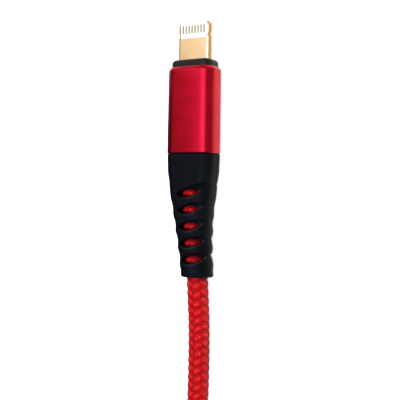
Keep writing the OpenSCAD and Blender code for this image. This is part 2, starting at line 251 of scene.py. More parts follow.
def crowned(w, t, r, steps=14, lean=6.0):
    """The same with its wide faces bowed out, so that they lean by that many degrees at the corners."""
    corner = np.radians(np.linspace(0, 90 - lean, steps + 1))
    face = np.radians(np.linspace(90 - lean, 90, steps // 2 + 1))[1:]
    bow = (w / 2 - r) / math.sin(math.radians(lean))
    mid = t / 2 - bow - r
    x = np.concatenate([w / 2 - r + r * np.cos(corner), (bow + r) * np.cos(face)])
    rise = mid + bow * math.cos(math.radians(lean)) + r * np.sin(corner)
    z = np.concatenate([rise, mid + (bow + r) * np.sin(face)])
    quarter = np.stack([x, z], 1)
    top = np.vstack([quarter, quarter[-2::-1] * (-1, 1)])
    return np.vstack([top, -top])


def ring(w, t, r, y, steps=12, shape=outline):
    """An outline as a ring of points at y, centred on the axis."""
    flat = shape(w, t, r, steps)
    return np.stack([flat[:, 0], np.full(len(flat), y), flat[:, 1]], 1)


def arc(centre, radius, start, end, steps=5):
    """Points of an arc in a flat plane, from one angle to another in degrees."""
    return [
        (centre[0] + radius * math.cos(math.radians(a)), centre[1] + radius * math.sin(math.radians(a)))
        for a in np.linspace(start, end, steps)
    ]


def device(points):
    """Points built round the device plug's axis, in their place."""
    return np.asarray(points, float) + (0, 0, AXIS_Z)


def host(points):
    """Points built along +Y from the cord's entry in the host plug, in their place."""
    return HOST_ENTRY + np.asarray(points, float) * (-1, -1, 1)


def device_boot_place(points):
    """Points built from the device boot's mouth, in their place."""
    return np.asarray(points, float) + (0, SHELL_BACK_Y, AXIS_Z)


def host_boot_place(points):
    """Points built from the host boot's mouth, in their place."""
    return host(np.asarray(points, float) + (0, BOOT_LEN, 0))


def run_along(line):
    """Length of a line up to each of its points."""
    return np.concatenate([[0], np.cumsum(np.linalg.norm(np.diff(line, axis=0), axis=1))])


def paint(piece, name, values):
    """Gives the piece's points a named value that its material reads."""
    mark = piece.data.attributes.new(name, "FLOAT", "POINT")
    mark.data.foreach_set("value", values.astype(np.float32))


def cut(piece, cutter):
    """Takes one mesh object out of another."""
    step = piece.modifiers.new("cut", "BOOLEAN")
    step.operation = "DIFFERENCE"
    step.solver = "EXACT"
    step.object = cutter
    bpy.context.view_layer.update()
    made = bpy.data.meshes.new_from_object(piece.evaluated_get(bpy.context.evaluated_depsgraph_get()))
    piece.modifiers.clear()
    piece.data = made
    bpy.data.objects.remove(cutter)
    made.shade_smooth()
    made.set_sharp_from_angle(angle=math.radians(30))


def recoat(piece, material):
    """Leaves the piece with that material only, after a cut."""
    piece.data.materials.clear()
    piece.data.materials.append(material)


def soften(piece, width, segments=3, angle=30):
    """Rounds the piece's edges by that width in mm."""
    step = piece.modifiers.new("round_edges", "BEVEL")
    step.width = width * MM
    step.segments = segments
    step.limit_method = "ANGLE"
    step.angle_limit = math.radians(angle)
    step.harden_normals = True


def box_points(low, high):
    """Corners and faces of a block."""
    x0, y0, z0 = low
    x1, y1, z1 = high
    points = [(x, y, z) for x in (x0, x1) for y in (y0, y1) for z in (z0, z1)]
    faces = [[0, 1, 3, 2], [4, 6, 7, 5], [0, 4, 5, 1], [2, 3, 7, 6], [0, 2, 6, 4], [1, 5, 7, 3]]
    return points, faces


def blocks(name, boxes, material, place):
    """One mesh object of several blocks."""
    points, faces = [], []
    for low, high in boxes:
        corners, sides = box_points(low, high)
        faces += [[i + len(points) for i in f] for f in sides]
        points += corners
    return build(name, place(points), faces, material)


# ---------------------------------------- node tools

class Graph:
    """Short ways to add and join shader nodes in one material."""

    def __init__(self, name):
        self.material = bpy.data.materials.new(name)
        self.material.use_nodes = True
        self.nodes = self.material.node_tree.nodes
        self.links = self.material.node_tree.links
        self.shader = self.nodes["Principled BSDF"]

    def put(self, socket, value):
        if isinstance(value, bpy.types.NodeSocket):
            self.links.new(value, socket)
        else:
            socket.default_value = value

    def math(self, operation, *values):
        node = self.nodes.new("ShaderNodeMath")
        node.operation = operation
        for socket, value in zip(node.inputs, values):
            self.put(socket, value)
        return node.outputs[0]

    def place(self):
        return self.nodes.new("ShaderNodeTexCoord").outputs["Object"]

    def attribute(self, name):
        node = self.nodes.new("ShaderNodeAttribute")
        node.attribute_name = name
        return node.outputs["Fac"]

    def stretch(self, vector, scale):
        node = self.nodes.new("ShaderNodeMapping")
        self.links.new(vector, node.inputs["Vector"])
        node.inputs["Scale"].default_value = scale
        return node.outputs[0]

    def noise(self, size, detail=3, vector=None, rough=0.55):
        """Noise whose blobs are about that many mm across, from 0 to 1."""
        node = self.nodes.new("ShaderNodeTexNoise")
        self.links.new(vector or self.place(), node.inputs["Vector"])
        node.inputs["Scale"].default_value = 1 / (size * MM)
        node.inputs["Detail"].default_value = detail
        node.inputs["Roughness"].default_value = rough
        return node.outputs["Fac"]

    def span(self, value, low, high, start=0.3, end=0.7):
        node = self.nodes.new("ShaderNodeMapRange")
        node.clamp = True
        self.put(node.inputs["Value"], value)
        for key, limit in (("From Min", start), ("From Max", end), ("To Min", low), ("To Max", high)):
            self.put(node.inputs[key], limit)
        return node.outputs[0]

    def blend(self, share, a, b):
        node = self.nodes.new("ShaderNodeMix")
        node.data_type = "RGBA"
        self.put(node.inputs[0], share)
        self.put(node.inputs[6], (*a, 1) if isinstance(a, tuple) else a)
        self.put(node.inputs[7], (*b, 1) if isinstance(b, tuple) else b)
        return node.outputs[2]

    def bump(self, height, depth, normal=None, strength=1.0):
        """Bump of that many mm for a height from 0 to 1."""
        node = self.nodes.new("ShaderNodeBump")
        self.put(node.inputs["Height"], height)
        self.put(node.inputs["Strength"], strength)
        node.inputs["Distance"].default_value = depth * MM
        if normal is not None:
            self.links.new(normal, node.inputs["Normal"])
        return node.outputs[0]

    def set(self, **sockets):
        for key, value in sockets.items():
            self.put(self.shader.inputs[key.replace("_", " ")], value)
        return self.material


def grained(name, dark, light, rough, grain, depth, patch=1.5, **sockets):
    """Moulded or metal surface: colour that drifts a little over it, and a fine grain in gloss and bump."""
    g = Graph(name)
    fine = g.noise(grain, 4)
    broad = g.noise(patch, 2)
    colour = g.blend(g.span(broad, 0.0, 1.0), dark, light)
    g.set(Base_Color=colour, Roughness=g.span(fine, rough[0], rough[1]), Normal=g.bump(fine, depth))
    return g.set(**sockets)


def braid_heights(u, v):
    """Height from 0 to 1 of the braid at u columns round the cord and v floats along it."""
    column = np.floor(u)
    across = u - column
    odd = np.mod(column, 2)
    p = np.mod(v + FLOAT_SLOPE * (1 - 2 * odd) * (across - 0.5) + FLOAT_SHIFT * odd, 1)
    crown = 1 - np.abs(2 * p - 1) ** FLOAT_CROWN
    tip = np.sqrt(np.clip(1 - np.abs(2 * across - 1) ** FLOAT_SIDE, 0, 1))
    yarn = 0.5 + 0.5 * np.cos(2 * math.pi * FLOAT_YARNS * p)
    return crown * (FLOAT_TIP + (1 - FLOAT_TIP) * tip) * (0.93 + 0.07 * yarn)


def braid_material():
    """Red yarns in the floats' pattern, with painted shade between the floats, painted highlights on their
    crowns, painted occlusion shade outside the boots and painted shade where a boot covers them.
    """
    g = Graph("red_braid")
    uv = g.nodes.new("ShaderNodeUVMap")
    uv.uv_map = "braid"
    split = g.nodes.new("ShaderNodeSeparateXYZ")
    g.links.new(uv.outputs[0], split.inputs[0])
    u, v = split.outputs[0], split.outputs[1]
    column = g.math("FLOOR", u)
    across = g.math("SUBTRACT", u, column)
    odd = g.math("FLOORED_MODULO", column, 2.0)
    way = g.math("SUBTRACT", 1.0, g.math("MULTIPLY", odd, 2.0))
    lean = g.math("MULTIPLY", g.math("MULTIPLY", way, FLOAT_SLOPE), g.math("SUBTRACT", across, 0.5))
    shift = g.math("MULTIPLY_ADD", odd, FLOAT_SHIFT, 8.0)
    p = g.math("FRACT", g.math("ADD", g.math("ADD", v, lean), shift))

    def hump(value, power):
        off = g.math("ABSOLUTE", g.math("MULTIPLY_ADD", value, 2.0, -1.0))
        return g.math("MAXIMUM", g.math("SUBTRACT", 1.0, g.math("POWER", off, power)), 0.0)

    wave = g.math("COSINE", g.math("MULTIPLY", p, 2 * math.pi * FLOAT_YARNS))
    yarn = g.math("MULTIPLY_ADD", wave, 0.5, 0.5)
    tip = g.math("MULTIPLY_ADD", g.math("SQRT", hump(across, FLOAT_SIDE)), 1 - FLOAT_TIP, FLOAT_TIP)
    body = g.math("MULTIPLY", hump(p, FLOAT_CROWN), tip)
    height = g.math("MULTIPLY", body, g.math("MULTIPLY_ADD", yarn, 0.22, 0.78))
    strand = g.nodes.new("ShaderNodeCombineXYZ")
    g.put(strand.inputs[0], g.math("MULTIPLY", p, 26.0))
    beside = g.math("ADD", across, g.math("MULTIPLY", column, 3.7))
    g.put(strand.inputs[1], g.math("MULTIPLY", beside, 2.2))
    g.put(strand.inputs[2], g.math("FLOOR", v))
    fibre = g.nodes.new("ShaderNodeTexNoise")
    g.links.new(strand.outputs[0], fibre.inputs["Vector"])
    fibre.inputs["Scale"].default_value = 1.0
    fibre.inputs["Detail"].default_value = 2.0
    fuzz = fibre.outputs["Fac"]
    # Painted shade: the yarns darken towards the gaps between the floats, where shade falls.
    painted_crevice_shade = g.blend(g.span(height, 0.0, 1.0, 0.1, 0.85), (0.30, 0.001, 0.001), (0.50, 0.002, 0.002))
    # Painted highlight: a light red on the crowns of the floats, broken by the fibre noise.
    crest = g.math("MULTIPLY", g.span(fuzz, 0.2, 1.0, 0.35, 0.65), g.span(height, 0.0, 0.8, 0.5, 0.95))
    lit = g.blend(crest, painted_crevice_shade, (0.82, 0.044, 0.034))
    # The dull blotches are random tone, mixed over the painted highlight and painted crevice shade.
    dull = g.span(g.noise(0.38, 4, rough=0.7), 0.95, 0.0, 0.34, 0.58)
    painted_light = g.blend(dull, lit, (0.28, 0.0008, 0.0008))
    # Painted shade: ambient occlusion darkens the cord's colour outside the boots, at its sides near the
    # floor, in the gaps between floats and just behind the boots.
    shade = g.nodes.new("ShaderNodeAmbientOcclusion")
    shade.samples = 8
    shade.inputs["Distance"].default_value = 6 * MM
    # Painted shade in the boots: "open" darkens the cord under the windows' edges and wherever the boot
    # covers it.
    seen = g.attribute("open")
    clear = g.span(shade.outputs["AO"], 0.25, 1.0, 0.4, 0.9)
    free = g.math("MAXIMUM", clear, g.math("LESS_THAN", seen, 1.5))
    # The dark colour is the painted shade that the occlusion and "open" mix in.
    tone = g.blend(g.math("MULTIPLY", free, g.math("MINIMUM", seen, 1.0)), (0.02, 0.0002, 0.0002), painted_light)
    relief = g.bump(height, 0.2, strength=g.attribute("coarse"))
    threads = g.bump(g.math("ADD", g.math("MULTIPLY", yarn, 0.6), fuzz), 0.03, normal=relief)
    return g.set(
        Base_Color=tone, Roughness=g.span(fuzz, 0.62, 0.42), Normal=threads, Specular_IOR_Level=0.06,
        Sheen_Weight=0.04, Sheen_Roughness=0.4, Sheen_Tint=(1.0, 0.3, 0.25, 1.0),
    )


def rubber_material():
    """Black rubber with a fine grain, and a painted highlight along the lip under each window."""
    g = Graph("black_boot")
    grain = g.noise(0.07, 4)
    broad = g.noise(1.8, 3)
    colour = g.blend(g.span(broad, 0.0, 1.0), (0.0014, 0.0018, 0.0019), (0.0026, 0.0031, 0.0032))
    # Painted highlight: a lighter grey along the lip under each window, broken by noise, standing in for the
    # highlight that light gives there.
    lip_highlight = g.math("MULTIPLY", g.attribute("lip_highlight"), g.span(g.noise(0.5, 3), 0.5, 1.0))
    rough = g.math("ADD", g.span(grain, 0.42, 0.56), g.span(broad, -0.03, 0.05))
    return g.set(
        Base_Color=g.blend(lip_highlight, colour, (0.042, 0.050, 0.057)), Roughness=rough,
        Normal=g.bump(grain, 0.006), Specular_IOR_Level=0.06,
    )


def anodised_material():
    """Red anodised aluminium: blasted, and drawn along its length."""
    g = Graph("red_anodised")
    blast = g.noise(0.045, 4)
    drawn = g.noise(0.12, 3, g.stretch(g.place(), (1.0, 0.06, 1.0)))
    broad = g.noise(3.0, 2)
    colour = g.blend(g.span(broad, 0.0, 1.0), (0.46, 0.0014, 0.010), (0.56, 0.0028, 0.017))
    rough = g.math("ADD", g.span(blast, 0.27, 0.36), g.span(drawn, -0.02, 0.03))
    return g.set(
        Base_Color=colour, Metallic=1.0, Roughness=rough,
        Normal=g.bump(blast, 0.0022, g.bump(drawn, 0.0012)), Coat_Weight=0.14, Coat_Roughness=0.22,
    )


def strap_material():
    """Hook-and-loop cloth: loops over a weave."""
    g = Graph("tie_strap")
    where = g.place()
    loops = g.noise(0.35, 4, where, 0.7)
    weave = g.nodes.new("ShaderNodeTexWave")
    g.links.new(where, weave.inputs["Vector"])
    weave.bands_direction = "Y"
    weave.inputs["Scale"].default_value = 1100
    weave.inputs["Distortion"].default_value = 1.5
    weave.inputs["Detail"].default_value = 2
    height = g.math("ADD", g.math("MULTIPLY", weave.outputs["Fac"], 0.5), loops)
    colour = g.blend(g.span(height, 0.0, 1.0, 0.4, 1.2), (0.004, 0.004, 0.005), (0.022, 0.022, 0.024))
    return g.set(
        Base_Color=colour, Roughness=0.85, Normal=g.bump(height, 0.12), Sheen_Weight=0.06,
        Sheen_Roughness=0.5,
    )


METAL = {"Metallic": 1.0}

# Moulded and metal finishes: dark, light, roughness, grain and bump in mm, and what else each sets
GRAINED = {
    "gold_plating": ((0.88, 0.59, 0.28), (0.92, 0.63, 0.31), (0.24, 0.36), 0.06, 0.0015, METAL),
    "contact_gold": ((0.42, 0.31, 0.10), (0.52, 0.39, 0.14), (0.2, 0.32), 0.05, 0.001, METAL),
    "white_insulator": (
        (0.77, 0.74, 0.59), (0.82, 0.79, 0.67), (0.28, 0.42), 0.12, 0.002,
        {"Subsurface_Weight": 0.1, "Subsurface_Scale": 0.0004}),
    "black_collar": (
        (0.0065, 0.0065, 0.003), (0.010, 0.010, 0.005), (0.32, 0.44), 0.1, 0.002,
        {"patch": 1.2, "Specular_IOR_Level": 0.16}),
    "natural_moulding": ((0.78, 0.75, 0.64), (0.86, 0.84, 0.75), (0.35, 0.5), 0.15, 0.006, {}),
    "board_laminate": ((0.012, 0.10, 0.035), (0.02, 0.16, 0.06), (0.25, 0.4), 0.2, 0.006, {}),
    "chip_epoxy": ((0.02, 0.02, 0.022), (0.035, 0.035, 0.038), (0.45, 0.65), 0.06, 0.004, {}),
    "capacitor_ceramic": ((0.34, 0.23, 0.14), (0.46, 0.33, 0.21), (0.4, 0.55), 0.08, 0.003, {}),
    "solder": ((0.62, 0.62, 0.63), (0.74, 0.74, 0.75), (0.22, 0.42), 0.1, 0.006, METAL),
    "red_wire": ((0.55, 0.02, 0.02), (0.65, 0.03, 0.03), (0.3, 0.42), 0.1, 0.003, {}),
    "black_wire": ((0.012, 0.012, 0.012), (0.02, 0.02, 0.02), (0.3, 0.42), 0.1, 0.003, {}),
    "green_wire": ((0.03, 0.30, 0.07), (0.05, 0.38, 0.1), (0.3, 0.42), 0.1, 0.003, {}),
    "white_wire": ((0.76, 0.76, 0.75), (0.84, 0.84, 0.83), (0.3, 0.42), 0.1, 0.003, {}),
    "plated_steel": (
        (0.60, 0.60, 0.61), (0.68, 0.675, 0.67), (0.18, 0.30), 0.09, 0.0015,
        {"patch": 2.0, "Metallic": 1.0}),
}


def finishes():
    """The record's material slots."""
    made = {
        "red_anodised": anodised_material(), "red_braid": braid_material(),
        "black_boot": rubber_material(), "tie_strap": strap_material(),
    }
    for name, (*look, more) in GRAINED.items():
        made[name] = grained(name, *look, **more)
    return made


# ---------------------------------------- shells, collars and tab

def shell_rings(w, t, r, wall, back, front):
    """Rings round a shell's wall: back edge, outside, round shoulder, mouth and bore.

    The shell is wider at its back by SHELL_FLARE.
    """
    profile = [(back + 1.5, wall), (back + 0.05, wall)]
    profile += [(back, wall - 0.05), (back, 0.28)]
    profile += arc((back + 0.2, 0.2), 0.2, 180, 270, 7)
    profile += [(back + 0.4, 0), (back + 2, 0), ((back + front) / 2, 0)]
    profile += [(front - behind, inset) for behind, inset in SHOULDER]
    profile += [(front, wall - 0.05), (front - 0.02, wall - 0.01), (front - 0.08, wall), (front - 1.5, wall)]
    rings = []
    for y, inset in profile:
        wide = w + SHELL_FLARE * (front - y) / (front - back) - 2 * inset
        rings.append(ring(wide, t - 2 * inset, r - inset, y, 14, crowned))
    return rings


def shell(name, size, wall, back, front, place, material):
    """Metal shell with that wall, from its back edge to its front edge along Y."""
    points, faces = skin(shell_rings(*size, wall, back, front), loop=True)
    return build(name, place(points), faces, material, 50)


def collar(name, size, back, front, hole, place, material):
    """Nose ring with a round front edge; the plug's tab or shell comes out of its hole."""
    w, t, r = size
    profile = [(back, 0.0), (front - 1.2, 0.0), (front - 0.9, 0.0)]
    for a in np.radians(range(0, 91, 10)):
        profile.append((front - 0.7 + 0.7 * math.sin(a), 0.8 - 0.8 * math.cos(a)))
    rings = [ring(w - 2 * i, t - 2 * i, r - i, y) for y, i in profile]
    hw, ht, hr = hole
    for wider, y in ((0.12, front), (0.02, front - 0.06), (0, front - 0.5), (0, back)):
        rings.append(ring(hw + wider, ht + wider, hr + wider / 2, y))
    points, faces = skin(rings, loop=True)
    return build(name, place(points), faces, material, 50)


def tab_half_width(y):
    """Half the tab's width at y: round corners at the tip and a detent in each side."""
    half = TAB_W / 2
    into = y - (TIP_Y - TAB_CORNER)
    if into > 0:
        half -= TAB_CORNER - math.sqrt(max(TAB_CORNER**2 - into**2, 0))
    off = abs(y - (TIP_Y - DETENT_BEHIND_TIP))
    if off < DETENT_R:
        half = min(half, DETENT_CENTRE_X - math.sqrt(DETENT_R**2 - off**2))
    return half


def tab_half_thickness(y):
    """The same for its thickness, with a round edge at the tip."""
    into = max(y - (TIP_Y - TAB_EDGE), 0)
    return TAB_T / 2 - (TAB_EDGE - math.sqrt(max(TAB_EDGE**2 - into**2, 0)))


def tab(material, insulator, contact):
    """Gold frame with two rails round the white insulator, and eight contacts on each face."""
    stations = [12.5, COLLAR_Y - 0.3, COLLAR_Y, 17, 18.4]
    stations += list(np.linspace(TIP_Y - 3.1, TIP_Y - 1.7, 25))
    stations += list(np.linspace(TIP_Y - 1.6, TIP_Y - 0.9, 6))
    stations += list(TIP_Y - TAB_CORNER * (1 - np.sin(np.radians(np.linspace(6, 90, 14)))))
    rings = []
    for y in stations:
        half = tab_half_width(y)
        thick = tab_half_thickness(y)
        rings.append(ring(2 * half, 2 * thick, thick - 0.002, y, 10))
    points, faces = skin(rings)
    frame = build("tab_frame", device(points), faces, material, 40)
    gap = opening("opening_cut", TAB_GAP_HALF_W, INSULATOR_BACK_Y - 0.02, TIP_Y + 1, 1.2, 0.3, material)
    cut(frame, gap)
    recoat(frame, material)
    soften(frame, 0.035, 2, 40)
    inside = insulator_block(insulator)
    pads = [
        ((x - 0.12, TIP_Y - 2.15, z - 0.04), (x + 0.12, TIP_Y - 0.8, z + 0.04))
        for x in CONTACT_PITCH * (np.arange(CONTACTS) - (CONTACTS - 1) / 2) for z in (-0.7, 0.7)
    ]
    slots = []
    for (x0, y0, z0), (x1, y1, z1) in pads:
        lower = z0 - SLOT_DEPTH if z0 < 0 else z0
        upper = z1 + SLOT_DEPTH if z1 > 0 else z1
        low = (x0 - SLOT_MARGIN, y0 - SLOT_MARGIN, lower)
        slots.append((low, (x1 + SLOT_MARGIN, y1 + SLOT_MARGIN, upper)))
    cut(inside, blocks("slot_cut", slots, insulator, device))
    recoat(inside, insulator)
    contacts = blocks("tab_contacts", pads, contact, device)
    soften(contacts, 0.03, 3)
    return frame, inside, contacts


def opening(name, half, y0, y1, depth, r, material):
    """Upright prism with round corners at its y0 end."""
    flat = arc((-half + r, y0 + r), r, 180, 270, 6) + arc((half - r, y0 + r), r, 270, 360, 6)
    flat += [(half, y1), (-half, y1)]
    n = len(flat)
    points = [(x, y, -depth) for x, y in flat] + [(x, y, depth) for x, y in flat]
    faces = [list(range(n - 1, -1, -1)), list(range(n, 2 * n))]
    faces += [[k, (k + 1) % n, n + (k + 1) % n, n + k] for k in range(n)]
    return build(name, device(points), faces, material)


def insulator_block(material):
    """White block that fills the tab's tip, a hair clear of the rails and proud of nothing."""
    edge = INSULATOR_EDGE
    stations = [INSULATOR_BACK_Y, 19.64, 19.8, 20.5, 21.5, TIP_Y - edge]
    stations += [TIP_Y - edge * (1 - math.sin(a)) for a in np.radians((20, 40, 60, 75, 90))]
    rings = []
    for y in stations:
        into = max(y - (TIP_Y - edge), 0)
        fall = edge - math.sqrt(max(edge**2 - into**2, 0))
        back = 0.05 if y == INSULATOR_BACK_Y else 0
        side = INSULATOR_HALF_W - back - 0.4 * fall
        rings.append(ring(2 * side, TAB_T - 2 * fall - 2 * back, 0.05, y, 3))
    points, faces = skin(rings)
    return build("tab_insulator", device(points), faces, material, 40)


# ---------------------------------------- boots

def smooth_max(a, b, k):
    """The larger of two distances, rounded over k where they meet."""
    h = np.maximum(k - np.abs(a - b), 0) / k
    return np.maximum(a, b) + h * h * k / 4


def block_distance(x, z, half_w, half_t, corner):
    """Signed distance of a rectangle with round corners."""
    qx = np.abs(x) - (half_w - corner)
    qz = np.abs(z) - (half_t - corner)
    return np.hypot(np.maximum(qx, 0), np.maximum(qz, 0)) + np.minimum(np.maximum(qx, qz), 0) - corner


def boot_lean(s):
    """Share of the boot's sideways bend at that share of its length."""
    s = np.clip(s, 0, 1)
    return s**3.5 * (3 - 2 * s)


def boot_share(s):
    """How far the boot's section has gone from its mouth to its round end, s mm from the mouth."""
    stations = (-3, 0, 3.4, 4.9, 6.9, 8.1, 11.0, 13.9, 16.8, 19.6, 21.8, 25)
    shares = (0, 0, 0.06, 0.2, 0.27, 0.41, 0.64, 0.81, 0.94, 1.0, 0.98, 0.98)
    fine = np.linspace(-3, 25, 561)
    kernel = np.hanning(25)
    level = np.interp(fine, stations, shares)
    level = np.convolve(np.pad(level, 12, "edge"), kernel / kernel.sum(), "valid")
    return np.interp(s, fine, level)


def window_place(x, s, z, k, side, tilt):
    """Place beside window k of the front (side 1) or back: along it, towards the mouth, and outwards."""
    turn = WINDOW_TURN + (0 if side > 0 else math.pi)
    across = x * math.cos(turn) - z * math.sin(turn)
    out = x * math.sin(turn) + z * math.cos(turn)
    up = WINDOW_FIRST + WINDOW_PITCH * k - s
    tilt = math.radians(tilt) * side
    along = across * math.cos(tilt) + up * math.sin(tilt)
    return along, up * math.cos(tilt) - across * math.sin(tilt), out


def windows(x, s, z):
    """The side of each window, with the place beside it."""
    for k in range(WINDOWS):
        for side in (1, -1):
            yield side, window_place(x, s, z, k, side, WINDOW_TILT)


def lens(a, b, half=WINDOW_HALF, rise=WINDOW_RISE):
    """Signed distance of a pointed oval."""
    bow = (half**2 + rise**2) / (2 * rise)
    return np.maximum(np.hypot(a, b - (bow - rise)), np.hypot(a, b + (bow - rise))) - bow


def window_light(points, bend):
    """Painted light on a boot's cord at points (x, mm from the mouth, z), from 0 to 1: how open the windows
    leave it, 0 being painted shade under the boot and its windows' edges.
    """
    x, s, z = points.T
    x = x - bend * boot_lean(s / BOOT_LEN)
    bare = np.zeros(len(x))
    for side, (a, b, out) in windows(x, s, z):
        inside = np.clip(-lens(a + 0.15 * side, b, LIGHT_HALF) / LIGHT_FADE, 0, 1) * (out > 0)
        bare = np.maximum(bare, inside)
    return bare**1.4


def device_boot_light(points):
    """The same at points of the device boot's cord, in their place."""
    return window_light((points - (0, SHELL_BACK_Y, AXIS_Z)) * (1, -1, 1), BOOT_BEND)


def host_boot_light(points):
    """The same at points of the host boot's cord, in their place."""
    return window_light((points - HOST_ENTRY) * (-1, 1, 1) + (0, BOOT_LEN, 0), 0.0)


def window_lip_highlight(points, bend):
    """Strength of the painted highlight on the lip under each window at points (x, mm from the mouth, z),
    from 0 to 1.
    """
    x, s, z = points.T
    x = x - bend * boot_lean(s / BOOT_LEN)
    painted_light = np.zeros(len(x))
    for side, (a, b, out) in windows(x, s, z):
        a = a * side
        off = lens(a, b - LIP_LIFT * np.clip(a, 0, 3)) - LIP_GAP
        under = np.exp(-((off / LIP_WIDTH) ** 2))
        reach = np.clip((2.8 - np.abs(a - 0.5)) / 1.2, 0, 1) * np.clip(0.5 + 0.35 * a, 0.15, 1)
        painted_light = np.maximum(painted_light, under * reach * np.clip(0.4 - b, 0, 0.3) / 0.3 * (out > 0))
    return painted_light


def boot_field(x, s, z, w, t, r, bend):
    """Signed distance of a boot, s mm from its mouth: a ribbed taper with slanted grooves and windows."""
    x = x - bend * boot_lean(s / BOOT_LEN)
    u = boot_share(s)
    half_w = w / 2 + (BOOT_END_R - w / 2) * u
    half_t = t / 2 + (BOOT_END_R - t / 2) * u
    body = block_distance(x, z, half_w, half_t, r + (BOOT_END_R - 0.01 - r) * u)
    crest = WINDOW_FIRST + 0.5 * WINDOW_PITCH - RIB_SHIFT
    swell = np.interp(s, (5.5, 8, 13, 17, 20.2, 21.4), (0, 0.05, 0.09, 0.1, 0.1, 0.0))
    body = body - swell * np.cos(2 * math.pi * (s - crest) / WINDOW_PITCH)
    body = smooth_max(body, s - BOOT_LEN + 0.12, 0.4)
    for k in range(WINDOWS):
        tilt, half, shift = FIRST_GROOVE if k == 0 else GROOVE
        for side in (1, -1):
            a, b, out = window_place(x, s, z, k, side, tilt)
            share = np.clip(1 - ((a - side * shift) / half) ** 2, 0, 1) * (out > 0)
            high = 0.85 * share + 0.15
            down = np.clip((high - b) / (2.1 * high), 0, 1)
            lip = np.clip(down / 0.26, 0, 1)
            body = body + GROOVE_DEPTH * share * lip * lip * (3 - 2 * lip) * (1 - down) ** 1.4
    for _, (a, b, out) in windows(x, s, z):
        body = smooth_max(body, -smooth_max(lens(a, b), 0.4 - out, 0.3), 0.32)
    return body


def boot(name, size, bend, nose, step, place, material):
    """Boot meshed from its distance field, with the nose that goes into the shell and the cord's bore."""
    w, t, r = size
    tall = max(t / 2, BOOT_END_R) + 0.4
    low = np.array((-w / 2 - 0.5 + min(bend, 0), -BOOT_NOSE - 0.5, -tall))
    high = np.array((w / 2 + 0.5 + max(bend, 0), BOOT_LEN + 0.5, tall))
    axes = [np.arange(a, b, step) for a, b in zip(low, high)]
    x, s, z = np.meshgrid(*axes, indexing="ij")
    body = smooth_max(boot_field(x, s, z, w, t, r, bend), -s, 0.25)
    plug = block_distance(x, z, nose[0] / 2, nose[1] / 2, nose[2])
    plug = np.maximum(np.maximum(plug, s - 1), -s - BOOT_NOSE)
    body = np.minimum(body, plug)
    bore = np.hypot(x - bend * boot_lean(s / BOOT_LEN), z) - (CORD_R - 0.02)
    body = smooth_max(body, -bore, 0.12)
    grid = openvdb.FloatGrid(1.0)
    grid.copyFromArray(np.clip(body, -1, 1).astype(np.float32))
    points, faces = grid.convertToQuads(0.0)
    points = low + np.asarray(points, float) * step
    # Painted highlight along the lip under each window, stored for the rubber's colour
    lip_highlight = window_lip_highlight(points, bend)
    points[:, 1] *= -1
    piece = build(name, place(points), np.asarray(faces)[:, ::-1].tolist(), material)
    paint(piece, "lip_highlight", lip_highlight)
    return piece


# ---------------------------------------- cord

def smooth_line(route, step):
    """Smooth curve through a route's points, as points that many mm apart."""
    p = np.asarray(route, float)
    p = np.vstack([2 * p[0] - p[1], p, 2 * p[-1] - p[-2]])
    t = np.linspace(0, 1, 12, endpoint=False)[:, None]
    line = []
    for a, b, c, d in zip(p[:-3], p[1:-2], p[2:-1], p[3:]):
        second = 2 * a - 5 * b + 4 * c - d
        third = 3 * b - a - 3 * c + d
        line.append(0.5 * (2 * b + (c - a) * t + second * t**2 + third * t**3))
    line = np.vstack([*line, p[-2:-1]])
    run = run_along(line)
    at = np.linspace(0, run[-1], int(run[-1] / step) + 1)
    return np.stack([np.interp(at, run, line[:, k]) for k in range(3)], 1)


def frames(line):
    """Directions across and up at each point of a line, turning no more than the line does."""
    along = np.gradient(line, axis=0)
    along /= np.linalg.norm(along, axis=1)[:, None]
    across = np.zeros_like(line)
    side = np.cross(along[0], (0, 0, 1))
    for i, t in enumerate(along):
        side = side - t * side.dot(t)
        side /= np.linalg.norm(side)
        across[i] = side
    return across, np.cross(across, along)


def braided_tube(line, start, step, sides, relief):
    """Points, faces, braid coordinates and caps of a braided tube along a line, start mm down the cord."""
    run = run_along(line)
    at = np.linspace(0, run[-1], max(int(round(run[-1] / step)), 2) + 1)
    across, up = frames(line)
    centre, side, top = ([np.interp(at, run, q[:, k]) for k in range(3)] for q in (line, across, up))
    centre, side, top = (np.stack(q, 1)[:, None, :] for q in (centre, side, top))
    turn = np.arange(sides) / sides
    u = np.broadcast_to((turn * COLUMNS)[None, :], (len(at), sides))
    v = np.broadcast_to(((at + start) / FLOAT_LEN)[:, None], (len(at), sides))
    high = braid_heights(u + 1e-6, v)
    radius = (CORD_R + 0.2 * relief + relief * high)[:, :, None]
    angle = (turn * 2 * math.pi)[None, :, None]
    points = centre + radius * (np.cos(angle) * side + np.sin(angle) * top)
    faces = quads(len(at), sides)
    rows = faces // sides
    cols = faces % sides
    wrap = (cols == 0) & (cols.max(1, keepdims=True) == sides - 1)
    uv = np.stack([(cols + wrap * sides) * COLUMNS / sides, (at[rows] + start) / FLOAT_LEN], -1)
    caps = [list(range(sides)), [(len(at) - 1) * sides + k for k in range(sides - 1, -1, -1)]]
    return points.reshape(-1, 3), faces, uv.reshape(-1, 2), caps


